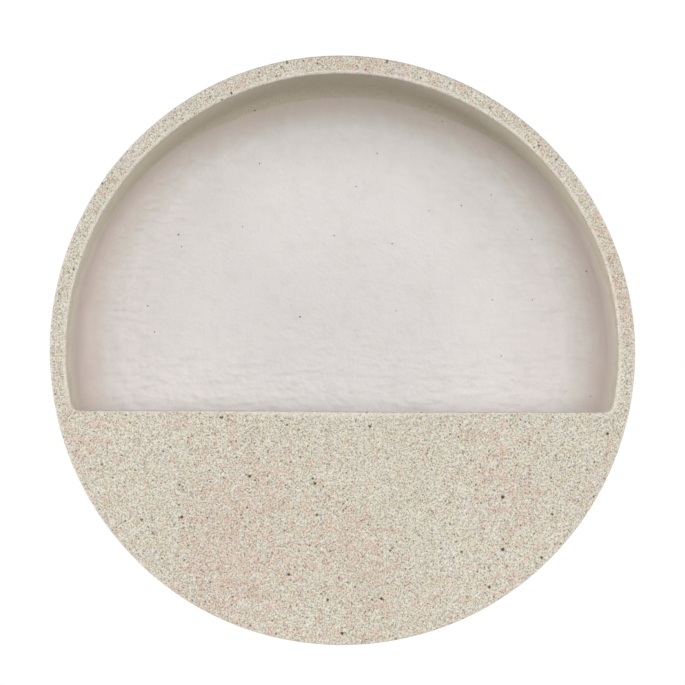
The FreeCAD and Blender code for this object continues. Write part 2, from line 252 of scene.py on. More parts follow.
# Grains, mortar, metal and rubber: sizes, relief and tones
GRAIN_TONES = ((0.00, (46, 41, 36)), (0.45, (84, 74, 62)), (0.80, (118, 108, 94)), (0.92, (190, 180, 164)))
GRAIN_FLECK = 0.4 * MM
GRAIN_RELIEF = (0.1 * MM, 0.5)
GRAIN_ROUGH = (0.45, 0.8)
FLECK_TONE = (140, 130, 114)
FLECK_SHARE = 0.3
MORTAR_STREAK = 9 * MM
STREAK_STRETCH = (0.25, 1.0, 1.0)
MORTAR_SAND = 1.0 * MM
SAND_SHOWS = (0.55, 0.8)
SAND_SHARE = 0.3
SAND_TONE = (150, 141, 126)
MORTAR_HOLES = {"spacing": 9 * MM, "reach": 1.3 * MM, "softness": 0.4, "shift": 6.6}
# Dark tone of the small holes: painted shade in the pits
HOLE_SHADE_TONE = (96, 89, 78)
HOLE_SHARE = 0.7
MORTAR_RELIEF = (0.5 * MM, 0.5)
MORTAR_ROUGH = (0.8, 0.96)
MORTAR_GLOSS = 0.25
METAL_LINE = 0.35 * MM
LINE_STRETCH = (1.0, 1.0, 0.05)
METAL_PATCH = 8 * MM
METAL_RELIEF = (0.05 * MM, 0.3)
METAL_WEAR = (0.3, 0.7)
RUBBER_PORE = 0.5 * MM
RUBBER_DUST = 5 * MM
RUBBER_RELIEF = (0.08 * MM, 0.4)

# Stage: soft boxes by name, degrees aside and up, size in metres and power, then fill, floor and camera
LAMP_DISTANCE = 1600 * MM
LAMPS = (
    ("front_box", 6, 2, 0.5, 12.0),
    ("left_forward_box", -30, 20.5, 0.8, 5.3),
    ("left_side_box", -80, 7, 0.5, 13.8),
    ("left_back_box", -150, 15, 0.5, 11),
    ("right_forward_box", 30, 20.5, 0.8, 7.5),
    ("right_side_box", 80, 7, 0.5, 8.6),
    ("right_back_box", 150, 15, 0.5, 11),
)
WHITE = (1.0, 1.0, 1.0, 1.0)
WORLD_FILL = 0.01
FLOOR_HEIGHT = -470 * MM
FLOOR_REACH = 720 * MM
FLOOR_FADE = (0.45 * FLOOR_REACH, 0.98 * FLOOR_REACH)
FLOOR_SIDES = 96
FLOOR_DRIFT = 300 * MM
FLOOR_ROUGH = 0.9
FLOOR_TONES = ((0.3, (238, 238, 237)), (0.7, (243, 243, 242)))
PICTURE_PIXELS = 685
PIXEL = 0.6764 * MM
CAMERA_DISTANCE = 1500 * MM
CAMERA_RIGHT = 0.45 * PIXEL
CAMERA_UP = 8.2 * PIXEL
SENSOR_WIDTH = 36.0


# Node helpers
def linear(red, green, blue):
    """A colour written as it looks on screen, 0 to 255, as the shader's own linear values."""
    shares = (channel / 255 for channel in (red, green, blue))
    return tuple(s / 12.92 if s <= 0.04045 else ((s + 0.055) / 1.055) ** 2.4 for s in shares) + (1.0,)


def set_input(socket, value):
    """Links an input to another node's socket, or gives it a value."""
    if isinstance(value, bpy.types.NodeSocket):
        socket.id_data.links.new(value, socket)
    else:
        socket.default_value = value


def add_node(tree, kind, inputs=None, **settings):
    """One node of a tree. Each input, by name or place, takes a value or another node's socket."""
    node = tree.nodes.new(kind)
    for name, value in settings.items():
        setattr(node, name, value)
    for name, value in (inputs or {}).items():
        set_input(node.inputs[name], value)
    return node


def fed_node(kind, inputs, **settings):
    """One node in the tree of the sockets among its inputs."""
    feeding = next(value for value in inputs.values() if isinstance(value, bpy.types.NodeSocket))
    return add_node(feeding.id_data, kind, inputs, **settings)


def output(kind, inputs, **settings):
    """The first output of a fed node."""
    return fed_node(kind, inputs, **settings).outputs[0]


def maths(operation, first, second=0.0, clamp=False):
    """The result of one sum on two numbers."""
    inputs = {0: first, 1: second}
    return output("ShaderNodeMath", inputs, operation=operation, use_clamp=clamp)


def swing(value, height):
    """A value from 0 to 1 as a move to both sides of zero, height from end to end."""
    return maths("MULTIPLY", maths("SUBTRACT", value, 0.5), height)


def vector_maths(operation, first, second=(0, 0, 0)):
    """The vector result of one sum on two vectors."""
    return output("ShaderNodeVectorMath", {0: first, 1: second}, operation=operation)


def scaled_vector(vector, scale):
    """A vector times a number."""
    return output("ShaderNodeVectorMath", {0: vector, "Scale": scale}, operation="SCALE")


def stretched(place, scale):
    """A place with its pattern drawn out along the axes whose scale is below 1."""
    return output("ShaderNodeMapping", {"Vector": place, "Scale": scale})


def noise(place, grain_size, detail=2.0, roughness=0.5, shift=0.0):
    """Soft noise from 0 to 1 whose grains are about grain_size across; shift picks another part of it."""
    moved = vector_maths("ADD", place, (shift, shift, shift))
    inputs = {"Vector": moved, "Scale": 1 / grain_size, "Detail": detail, "Roughness": roughness}
    return output("ShaderNodeTexNoise", inputs)


def specks(place, spacing, reach, softness, shift):
    """1 inside scattered round grains and 0 outside, about spacing apart and up to reach in radius."""
    moved = vector_maths("ADD", place, (shift, shift, shift))
    cells = fed_node("ShaderNodeTexVoronoi", {"Vector": moved, "Scale": 1 / spacing})
    chance = output("ShaderNodeSeparateColor", {0: cells.outputs["Color"]})
    limit = maths("MULTIPLY", chance, reach / spacing)
    inside = maths("SUBTRACT", limit, cells.outputs["Distance"])
    return maths("DIVIDE", inside, softness * reach / spacing, clamp=True)


def between(value, low, high):
    """How far a value is on its way from low to high, from 0 to 1."""
    inputs = {"Value": value, "From Min": low, "From Max": high}
    return output("ShaderNodeMapRange", inputs, interpolation_type="SMOOTHSTEP")


def nearness(place, centre, reach, strength):
    """The strength at a centre, fading to 0 at its reach."""
    inputs = {0: place, 1: centre}
    away = fed_node("ShaderNodeVectorMath", inputs, operation="DISTANCE").outputs["Value"]
    return maths("MULTIPLY", between(away, reach, 0.0), strength)


def ranged(value, low, high, start=0.0, stop=1.0):
    """A value from start to stop as one from low to high."""
    inputs = {"Value": value, "From Min": start, "From Max": stop, "To Min": low, "To Max": high}
    return output("ShaderNodeMapRange", inputs)


def mixed(factor, first, second, blend="MIX"):
    """A colour on its way from the first to the second."""
    inputs = {0: factor, 6: first, 7: second}
    return fed_node("ShaderNodeMix", inputs, data_type="RGBA", blend_type=blend).outputs[2]


def blended(factor, first, second):
    """A number on its way from the first to the second."""
    return output("ShaderNodeMix", {0: factor, 2: first, 3: second}, data_type="FLOAT")


def toned(factor, stops):
    """A colour picked by a factor from stops of (position, colour)."""
    ramp = fed_node("ShaderNodeValToRGB", {0: factor})
    elements = ramp.color_ramp.elements
    while len(elements) < len(stops):
        elements.new(1.0)
    for element, (position, colour) in zip(elements, stops):
        element.position = position
        element.color = linear(*colour)
    return ramp.outputs[0]


def tinted(colour, factor, stops):
    """A colour times the tint that a factor picks."""
    return mixed(1.0, colour, toned(factor, stops), "MULTIPLY")


def overlaid(colour, shown, strength, tone):
    """A colour with a tone over it, by how far that is shown times a strength."""
    return mixed(maths("MULTIPLY", shown, strength), colour, linear(*tone))


def attribute(finish, name):
    """A number that the mesh with this finish carries at each point."""
    return add_node(finish.node_tree, "ShaderNodeAttribute", attribute_name=name).outputs["Fac"]


def bumped(height, distance, strength):
    """A normal from a height, where 1 stands distance high."""
    inputs = {"Height": height, "Distance": distance, "Strength": strength}
    return output("ShaderNodeBump", inputs)


def new_finish(name):
    """An empty material, its shader, already joined to the output, and the place on the piece."""
    finish = bpy.data.materials.new(name)
    finish.use_nodes = True
    tree = finish.node_tree
    place = add_node(tree, "ShaderNodeTexCoord").outputs["Object"]
    return finish, tree.nodes["Principled BSDF"], place


def dress(shader, **inputs):
    """Gives a shader's inputs their sockets or values, with _ in place of the spaces in an input's name."""
    for name, value in inputs.items():
        set_input(shader.inputs[name.replace("_", " ")], value)


# Finishes
def stone_colour(place):
    """Colour and height of the sandy cast stone: fine grain, faint blotches, painted light on the left side
    and grains of several sizes.
    """
    turned = output("ShaderNodeMapping", {"Vector": place, "Rotation": GRAIN_TURN})
    fine = noise(turned, FINE_GRAIN, detail=0.0)
    coarse = noise(place, COARSE_GRAIN, detail=1.0, shift=0.4)
    grain = blended(COARSE_SHARE, fine, coarse)
    blotch = noise(place, WARM_BLOTCH, shift=3.1)
    region = noise(place, WARM_REGION, detail=1.0, shift=7.3)
    warm = maths("ADD", blotch, swing(region, WARM_REGION_SHARE))
    warm = maths("ADD", warm, nearness(place, *WARM_PATCH))
    ochre = noise(place, OCHRE_BLOTCH, detail=1.0, shift=4.7)
    broad = noise(place, BROAD_SHADE, detail=1.0, shift=7.7)
    # Painted light: the left side made paler
    pale = maths("ADD", broad, nearness(place, *PAINTED_LIGHT_LEFT_SIDE))
    colour = toned(grain, STONE_TONES)
    for factor, tint in ((warm, WARM_TINT), (ochre, OCHRE_TINT), (pale, BROAD_TONE_AND_LIGHT_TINT)):
        colour = tinted(colour, factor, tint)
    height = grain
    for spacing, reach, softness, shift, strength, tone, pit in STONE_SPECKS:
        drawn = specks(place, spacing, reach, softness, shift)
        colour = overlaid(colour, drawn, strength, tone)
        if pit:
            height = maths("SUBTRACT", height, maths("MULTIPLY", drawn, pit))
    return colour, height


def coat_colour(place, thickness):
    """Colour, height and roughness of the brushed coat, pinkish and then sandy where it is thin."""
    colour = toned(thickness, COAT_TONES)
    cloud = noise(place, COAT_CLOUD, detail=3.0, shift=2.2)
    colour = tinted(colour, cloud, CLOUD_TINT)
    mottle = noise(place, COAT_MOTTLE, shift=8.3)
    colour = overlaid(colour, mottle, MOTTLE_SHARE, MOTTLE_TONE)
    brush = noise(place, COAT_BRUSH, detail=3.0, roughness=0.6, shift=1.7)
    return colour, brush, ranged(brush, *COAT_ROUGH)


def stone_finish():
    """Matt sandy cast stone, paler on worn edges with a painted highlight along the opening's lip, darker on
    the smoothed inner wall partly from painted shade, under the sealing coat where the piece carries it.
    """
    finish, shader, place = new_finish("cast_stone")
    cover = attribute(finish, "cover")
    stone, stone_height = stone_colour(place)
    wear = noise(place, RUBBED_PATCH, shift=4.4)
    # Paler worn patches along the edges; on the lip they are also a painted highlight
    rubbed_and_highlit = maths("MULTIPLY", attribute(finish, "rubbed_edge"), wear)
    # The smoothed inner wall's darker tone, partly painted shade
    smoothed = maths("MULTIPLY", between(cover, *SMOOTHED_COVER), SMOOTHED_SHARE)
    for share, tone in ((rubbed_and_highlit, RUBBED_AND_HIGHLIGHT_TONE), (smoothed, SMOOTHED_AND_SHADED_TONE)):
        stone = mixed(share, stone, linear(*tone))
        stone_height = blended(share, stone_height, 0.5)
    drift = noise(place, COAT_DRIFT, detail=3.0, shift=5.5)
    thickness = maths("ADD", cover, swing(drift, COAT_DRIFT_SHARE))
    coat, coat_height, coat_rough = coat_colour(place, thickness)
    clinging = maths("ADD", thickness, swing(stone_height, COAT_CLINGING_SHARE))
    begun = between(cover, 0.0, COVER_BEGINS)
    shown = maths("MULTIPLY", between(clinging, 0.0, COAT_BEGINS), begun)
    colour = mixed(shown, stone, coat)
    rough = blended(shown, ranged(stone_height, *STONE_ROUGH), coat_rough)
    stone_normal = bumped(stone_height, *STONE_RELIEF)
    coat_normal = bumped(coat_height, *COAT_RELIEF)
    inputs = {0: shown, 4: stone_normal, 5: coat_normal}
    normal = fed_node("ShaderNodeMix", inputs, data_type="VECTOR").outputs[1]
    dress(shader, Base_Color=colour, Roughness=rough, Normal=normal, Specular_IOR_Level=STONE_GLOSS)
    return finish


def grain_finish():
    """Dark and pale mineral grains of the stone, each with its own tone."""
    finish, shader, place = new_finish("stone_grains")
    fleck = noise(place, GRAIN_FLECK)
    colour = toned(attribute(finish, "grain_tone"), GRAIN_TONES)
    colour = overlaid(colour, fleck, FLECK_SHARE, FLECK_TONE)
    normal = bumped(fleck, *GRAIN_RELIEF)
    dress(shader, Base_Color=colour, Roughness=ranged(fleck, *GRAIN_ROUGH), Normal=normal)
    return finish


def mortar_finish(name, pale, dark):
    """Trowelled mortar: streaked, with fine sand and small holes in it, the holes darkened by painted shade.
    """
    finish, shader, place = new_finish(name)
    streak = noise(stretched(place, STREAK_STRETCH), MORTAR_STREAK, detail=4.0, roughness=0.6)
    sand = noise(place, MORTAR_SAND, roughness=0.6)
    hole = specks(place, **MORTAR_HOLES)
    colour = toned(streak, ((0.32, dark), (0.68, pale)))
    colour = mixed(between(sand, *SAND_SHOWS), colour, linear(*SAND_TONE))
    # Painted shade in the small holes
    colour = overlaid(colour, hole, HOLE_SHARE, HOLE_SHADE_TONE)
    sandy = maths("ADD", streak, maths("MULTIPLY", sand, SAND_SHARE))
    normal = bumped(maths("SUBTRACT", sandy, hole), *MORTAR_RELIEF)
    rough = ranged(sand, *MORTAR_ROUGH)
    dress(shader, Base_Color=colour, Roughness=rough, Normal=normal, Specular_IOR_Level=MORTAR_GLOSS)
    return finish


def metal_finish(name, bright, dull, rough):
    """Plated or turned metal: fine brushed lines and dull patches."""
    finish, shader, place = new_finish(name)
    lines = noise(stretched(place, LINE_STRETCH), METAL_LINE)
    patch = noise(place, METAL_PATCH, detail=3.0)
    colour = toned(patch, ((0.35, dull), (0.65, bright)))
    worn = ranged(blended(0.5, lines, patch), *rough, *METAL_WEAR)
    normal = bumped(lines, *METAL_RELIEF)
    dress(shader, Base_Color=colour, Roughness=worn, Normal=normal, Metallic=1.0)
    return finish


def rubber_finish(name, pale, dark, rough):
    """Moulded rubber: fine pores and dusty patches."""
    finish, shader, place = new_finish(name)
    pores = noise(place, RUBBER_PORE)
    dust = noise(place, RUBBER_DUST, detail=3.0)
    colour = toned(dust, ((0.35, dark), (0.7, pale)))
    normal = bumped(pores, *RUBBER_RELIEF)
    dress(shader, Base_Color=colour, Roughness=ranged(dust, *rough), Normal=normal)
    return finish


# Mesh helpers
@contextlib.contextmanager
def edited(mesh):
    """A mesh opened for edits and written back after them."""
    work = bmesh.new()
    work.from_mesh(mesh)
    yield work
    work.to_mesh(mesh)
    work.free()


def add_object(name, data):
    """A new object in the scene."""
    thing = bpy.data.objects.new(name, data)
    bpy.context.scene.collection.objects.link(thing)
    return thing


def new_piece(name, points, faces):
    """A smooth mesh object with its faces turned outwards."""
    mesh = bpy.data.meshes.new(name)
    mesh.from_pydata(np.asarray(points).tolist(), [], faces)
    with edited(mesh) as work:
        bmesh.ops.recalc_face_normals(work, faces=work.faces)
    mesh.shade_smooth()
    return add_object(name, mesh)


def store_number(piece, name, values):
    """Keeps a number for each point in the piece's mesh."""
    layer = piece.data.attributes.new(name, "FLOAT", "POINT")
    layer.data.foreach_set("value", np.asarray(values, dtype=np.float32).ravel())


def made_plain(piece):
    """Turns a piece's live modifiers into its mesh."""
    graph = bpy.context.evaluated_depsgraph_get()
    shaped = piece.evaluated_get(graph)
    mesh = bpy.data.meshes.new_from_object(shaped, preserve_all_data_layers=True, depsgraph=graph)
    piece.modifiers.clear()
    piece.data = mesh
    mesh.name = piece.name
    return piece


def finish_piece(piece, slot, body, *nodes):
    """Tells the frame what a piece rides on and hides the nodes it stands for; the slot is not used."""
    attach(piece, body)
    if nodes:
        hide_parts(*nodes)
    return piece


# Geometry tree helpers
def new_tree(name, **inputs):
    """A geometry tree and its entry sockets: the mesh, the named inputs and the finish."""
    tree = bpy.data.node_groups.new(name, "GeometryNodeTree")
    for label, kind in {"Mesh": "Geometry", **inputs, "Finish": "Material"}.items():
        tree.interface.new_socket(label.replace("_", " "), in_out="INPUT", socket_type="NodeSocket" + kind)
    tree.interface.new_socket("Mesh", in_out="OUTPUT", socket_type="NodeSocketGeometry")
    return tree, tree.nodes.new("NodeGroupInput").outputs


def finish_tree(tree, entry, geometry):
    """Ends a tree: instances made real and the finish set."""
    real = output("GeometryNodeRealizeInstances", {0: geometry})
    painted = output("GeometryNodeSetMaterial", {"Geometry": real, "Material": entry["Finish"]})
    fed_node("NodeGroupOutput", {0: painted})
    return tree


def run_tree(tree, piece, **values):
    """Runs a tree on a piece with the values of its named inputs, and keeps the plain mesh it makes."""
    modifier = piece.modifiers.new(tree.name, "NODES")
    modifier.node_group = tree
    for item in tree.interface.items_tree:
        label = item.name.replace(" ", "_")
        if item.in_out == "INPUT" and label in values:
            modifier[item.identifier] = values[label]
    return made_plain(piece)


def point_place(tree):
    """The place of each point."""
    return add_node(tree, "GeometryNodeInputPosition").outputs[0]


def mesh_number(tree, name):
    """A number that the mesh keeps at each point."""
    inputs = {"Name": name}
    return add_node(tree, "GeometryNodeInputNamedAttribute", inputs, data_type="FLOAT").outputs[0]


def less_than(value, limit):
    """Whether a number is below a limit."""
    return output("FunctionNodeCompare", {0: value, 1: limit}, operation="LESS_THAN")


def both(first, second):
    """Whether two conditions hold."""
    return output("FunctionNodeBooleanMath", {0: first, 1: second}, operation="AND")


def moved_out(mesh, height):
    """A mesh with its points moved along the surface's own normal."""
    normal = add_node(mesh.id_data, "GeometryNodeInputNormal").outputs[0]
    offset = scaled_vector(normal, height)
    return output("GeometryNodeSetPosition", {"Geometry": mesh, "Offset": offset})


def flat_ball(tree, rounds, shape):
    """A ball of radius 1, squashed to a shape."""
    inputs = {"Radius": 1.0, "Subdivisions": rounds}
    ball = add_node(tree, "GeometryNodeMeshIcoSphere", inputs).outputs[0]
    return output("GeometryNodeTransform", {"Geometry": ball, "Scale": shape})


def random_spin(tree, most):
    """A random turn around each axis, up to the most."""
    inputs = {"Min": (0, 0, 0), "Max": most}
    return add_node(tree, "FunctionNodeRandomValue", inputs, data_type="FLOAT_VECTOR").outputs[0]


def object_shape(thing):
    """The mesh of another object."""
    return fed_node("GeometryNodeObjectInfo", {"Object": thing}).outputs["Geometry"]


# Geometry trees
def casting_tree():
    """Slow swells and small dents of a hand-made casting."""
    tree, entry = new_tree("casting", **dict.fromkeys(CASTING, "Float"))
    place = point_place(tree)
    moves = []
    for kind in ("Swell", "Dent"):
        scale = maths("DIVIDE", 1.0, entry[kind + " size"])
        wave = output("ShaderNodeTexNoise", {"Vector": place, "Scale": scale, "Detail": 1.0})
        moves.append(swing(wave, entry[kind + " height"]))
    moved = moved_out(entry["Mesh"], maths("ADD", *moves))
    return finish_tree(tree, entry, moved)


def brushing_tree():
    """Brush strokes around the coat and level ridges across it, on the points that face the front."""
    tree, entry = new_tree("brushing", **dict.fromkeys(BRUSHING, "Float"))
    place = point_place(tree)
    parts = fed_node("ShaderNodeSeparateXYZ", {0: place}).outputs
    down = maths("SUBTRACT", CENTRE_Z, parts[2])
    across = maths("SUBTRACT", parts[0], CENTRE_X)
    squares = [maths("MULTIPLY", side, side) for side in (down, across)]
    radius = maths("SQRT", maths("ADD", *squares))
    along = maths("MULTIPLY", maths("ARCTAN2", down, across), STROKE_PER_RADIAN)
    polar = output("ShaderNodeCombineXYZ", {0: radius, 1: along, 2: 0.0})
    stroke = swing(noise(polar, STROKE_WIDTH), entry["Stroke height"])
    drawn_out = maths("MULTIPLY", across, RIDGE_STRETCH)
    level = output("ShaderNodeCombineXYZ", {0: drawn_out, 1: parts[1], 2: down})
    ridged = noise(level, RIDGE_WIDTH, detail=3.0, roughness=0.6, shift=0.7)
    ridge = swing(ridged, entry["Ridge height"])
    swell = swing(noise(place, COAT_SWELL, detail=1.0, shift=1.9), entry["Swell height"])
    worked = maths("MAXIMUM", between(down, *LOW_PART), between(radius, *EDGE_PART))
    worked = maths("ADD", LEAST_WORKED, worked)
    height = maths("MULTIPLY", maths("ADD", stroke, ridge), worked)
    height = maths("MAXIMUM", maths("ADD", height, swell), -COAT_DEEPEST)
    height = maths("MULTIPLY", height, mesh_number(tree, "front_side"))
    return finish_tree(tree, entry, moved_out(entry["Mesh"], height))


def grains_tree():
    """Mineral grains scattered over a stone surface, pressed in almost flush with it."""
    tree, entry = new_tree("grains", Density="Float", Smallest="Float", Largest="Float", Seed="Int")
    depth = fed_node("ShaderNodeSeparateXYZ", {0: point_place(tree)}).outputs[1]
    in_sight = less_than(depth, GRAIN_DEEPEST)
    bare = less_than(mesh_number(tree, "cover"), GRAIN_COVER)
    plain = less_than(mesh_number(tree, "rubbed_edge"), GRAIN_WEAR)
    chosen = both(both(in_sight, bare), plain)
    inputs = {name: entry[name] for name in ("Mesh", "Density", "Seed")}
    scattered = fed_node("GeometryNodeDistributePointsOnFaces", {**inputs, "Selection": chosen}).outputs
    chance = fed_node("FunctionNodeRandomValue", {"Seed": entry["Seed"]}, data_type="FLOAT").outputs[1]
    rare = maths("POWER", chance, GRAIN_RARITY)
    growth = maths("MULTIPLY", rare, maths("SUBTRACT", entry["Largest"], entry["Smallest"]))
    size = maths("ADD", entry["Smallest"], growth)
    pressed = scaled_vector(scattered["Normal"], maths("MULTIPLY", size, GRAIN_PRESSED))
    seated = output("GeometryNodeSetPosition", {"Geometry": scattered["Points"], "Offset": pressed})
    inputs = {"Rotation": scattered["Rotation"], "Rotate By": random_spin(tree, GRAIN_SPIN)}
    turned = output("FunctionNodeRotateRotation", inputs, rotation_space="LOCAL")
    placed = output("GeometryNodeInstanceOnPoints", {
        "Points": seated, "Instance": flat_ball(tree, 1, GRAIN_SHAPE),
        "Rotation": turned, "Scale": size})
    tone = add_node(tree, "FunctionNodeRandomValue", {"Seed": TONE_SEED}, data_type="FLOAT").outputs[1]
    inputs = {"Geometry": placed, "Name": "grain_tone", "Value": tone}
    grains = output("GeometryNodeStoreNamedAttribute", inputs, data_type="FLOAT", domain="INSTANCE")
    return finish_tree(tree, entry, grains)


def specks_tree():
    """Flat grains on a surface, each on the spot behind its point."""
    tree, entry = new_tree("dark_specks", Surface="Object", Reach="Float")
    struck = fed_node("GeometryNodeRaycast", {
        "Target Geometry": object_shape(entry["Surface"]),
        "Ray Direction": (0, 1, 0), "Ray Length": entry["Reach"]})
    seated = output("GeometryNodeSetPosition", {
        "Geometry": entry["Mesh"], "Position": struck.outputs["Hit Position"]})
    placed = output("GeometryNodeInstanceOnPoints", {
        "Points": seated, "Instance": flat_ball(tree, 2, SPECK_SHAPE),
        "Rotation": random_spin(tree, SPECK_SPIN), "Scale": mesh_number(tree, "speck_size")})
    return finish_tree(tree, entry, placed)


def repeating_tree():
    """One template piece set at each point."""
    tree, entry = new_tree("repeating", Template="Object")
    shape = object_shape(entry["Template"])
    placed = output("GeometryNodeInstanceOnPoints", {"Points": entry["Mesh"], "Instance": shape})
    return finish_tree(tree, entry, placed)


# Round shapes
def round_wave(angle):
    """How far the hand-made round stands out at an angle."""
    oval = OVAL_HEIGHT * np.cos(2 * angle + OVAL_PHASE)
    return oval + TRIANGLE_HEIGHT * np.cos(3 * angle + TRIANGLE_PHASE)


def outer_radius(angle):
    """Radius of the drum's outside at an angle."""
    return OUTER_RADIUS + round_wave(angle)


def wall_radius(angle):
    """Radius of the drum's inside at an angle."""
    return INNER_RADIUS + INNER_WAVE_SHARE * round_wave(angle)


def opening_radius(angle):
    """Distance from the drum's centre to the edge of its opening: wall, rounded corner or apron."""
    sine = np.sin(angle)
    cosine = np.abs(np.cos(angle))
    wall = wall_radius(angle)
    drop = APRON_DROP + APRON_TILT * np.cos(angle)
    below = sine < 0
    apron = np.where(below, drop / np.maximum(-sine, LEAST_SINE), np.inf)
    corner_z = OPENING_CORNER - drop
    corner_x = np.sqrt((wall - OPENING_CORNER) ** 2 - corner_z ** 2)
    towards = corner_x * cosine + corner_z * sine
    aside = corner_x * sine - corner_z * cosine
    rounded = towards + np.sqrt(np.maximum(OPENING_CORNER ** 2 - aside ** 2, 0))
    past_corner = apron * cosine > corner_x
    under_corner = sine * wall - corner_z < (cosine * wall - corner_x) * corner_z / corner_x
    return np.where(below & past_corner & under_corner, rounded, np.minimum(wall, apron))


def coat_line(angle):
    """How far in from the lip the coat begins: deep at the top, near it at the sides, then in the pocket."""
    height = np.sin(angle)
    up = np.maximum(height, 0)
    top_share = up * up * (3 - 2 * up)
    pocket_share = np.clip(-height / POCKET_SINE, 0, 1)
    line = COAT_LINE_SIDE + (COAT_LINE_TOP - COAT_LINE_SIDE) * top_share
    return line + (COAT_LINE_POCKET - COAT_LINE_SIDE) * pocket_share


def coat_cover(angle, run):
    """How thick the coat lies on the inside, a run in from the lip: 0 is bare stone, 1 the full coat."""
    line = coat_line(angle)
    thin_end = np.maximum(COAT_THIN_END, line + COAT_THIN_LEAST)
    thin = (run - line) / (thin_end - line)
    thick = (run - thin_end) / (COAT_FULL - thin_end)
    return (np.clip(thin, 0, 1) + np.clip(thick, 0, 1)) / 2


def inside_cover(angle, run):
    """Cover along the drum's inside: from -1 on the rough lip to 0 on the smoothed wall, then the coat's."""
    rough = run / SMOOTH_RUN - 1
    return np.where(run < SMOOTH_RUN, rough, coat_cover(angle, run))


def drum_angles():
    """Angles of the drum's columns, closest together where the opening's edge runs fast or turns."""
    fine = np.linspace(-math.pi / 2, 1.5 * math.pi, FINE_ANGLES)
    edge = opening_radius(fine) * np.array([np.cos(fine), np.sin(fine)])
    edge_run = np.hypot(*np.gradient(edge, axis=1))
    rim_run = OUTER_RADIUS * np.gradient(fine)
    corner_cosine = math.cos(math.asin(APRON_DROP / INNER_RADIUS))
    from_corner = (np.abs(np.cos(fine)) - corner_cosine) / CORNER_WIDTH
    near_corner = np.exp(-from_corner ** 2) * (np.sin(fine) < 0)
    weight = np.cumsum((edge_run + rim_run) * (1 + CORNER_WEIGHT * near_corner))
    wanted = np.linspace(weight[0], weight[-1], DRUM_COLUMNS, endpoint=False)
    return np.interp(wanted, weight, fine)


def quarter(start, corner, stop, count):
    """Points of a quarter round from start to stop inside a corner, without the last."""
    start, corner, stop = (np.array(point) for point in (start, corner, stop))
    centre = start + stop - corner
    turn = np.linspace(0, math.pi / 2, count, endpoint=False)[:, None]
    return centre + (start - centre) * np.cos(turn) + (stop - centre) * np.sin(turn)


def straight(start, stop, count):
    """Points of a straight run, without the last."""
    return np.linspace(start, stop, count, endpoint=False)


def spread(path, distances):
    """Points of a path at the given distances along it."""
    along = np.concatenate([[0], np.cumsum(np.hypot(*np.diff(path, axis=0).T))])
    return np.stack([np.interp(distances, along, path[:, k]) for k in (0, 1)], axis=1)


def in_frame(angle, radius, depth):
    """Points in the frame from angles and radii around the drum's axis, and depths along it."""
    return np.stack([CENTRE_X + radius * np.cos(angle), depth, CENTRE_Z + radius * np.sin(angle)], axis=-1)


def ring_piece(name, angles, sections):
    """A ring of closed sections of (radius, depth), one for each angle."""
    points = in_frame(angles[:, None], sections[..., 0], sections[..., 1])
    index = np.arange(points[..., 0].size).reshape(points.shape[:2])
    beside = np.roll(index, -1, axis=0)
    faces = np.stack([index, beside, np.roll(beside, -1, axis=1), np.roll(index, -1, axis=1)], axis=-1)
    return new_piece(name, points.reshape(-1, 3), faces.reshape(-1, 4).tolist())


def turned_solid(profile, sides):
    """Points and faces of a profile of (radius, height) turned around the Z axis and closed at its ends."""
    turn = np.linspace(0, 2 * math.pi, sides, endpoint=False)
    round_points = [(math.cos(t), math.sin(t)) for t in turn]
    points = [(radius * x, radius * y, height) for radius, height in profile for x, y in round_points]
    index = np.arange(len(points)).reshape(len(profile), sides)
    after = np.roll(index, -1, axis=1)
    faces = np.stack([index[:-1], after[:-1], after[1:], index[1:]], axis=-1).reshape(-1, 4).tolist()
    return np.array(points), faces + [index[0].tolist(), index[-1].tolist()]


# Drum
def inside_run(opening, wall):
    """From the opening's rounded edge back along lip, apron and pocket to the rear end of the wall."""
    apron_back = FRONT + APRON_THICKNESS
    room = max(wall - opening, 0.0)
    edge = min(APRON_INNER_EDGE, room / 2)
    fillet = min(POCKET_CORNER, room - edge)
    apron_start = (opening + edge, apron_back)
    pocket_end = (wall, apron_back + POCKET_CORNER)
    path = np.concatenate([
        [(opening, FRONT + OPENING_EDGE)],
        quarter((opening, apron_back - edge), (opening, apron_back), apron_start, INNER_EDGE_ROWS),
        quarter((wall - fillet, apron_back), (wall, apron_back), pocket_end, POCKET_ROWS),
        [pocket_end, (wall, BACK_FACE)],
    ])
    length = np.hypot(*np.diff(path, axis=0).T).sum()
    near = np.linspace(0, LIP_RUN, LIP_ROWS, endpoint=False)
    far = np.linspace(LIP_RUN, length, WALL_ROWS, endpoint=False)
    run = np.concatenate([near, far])
    return spread(path, run), run


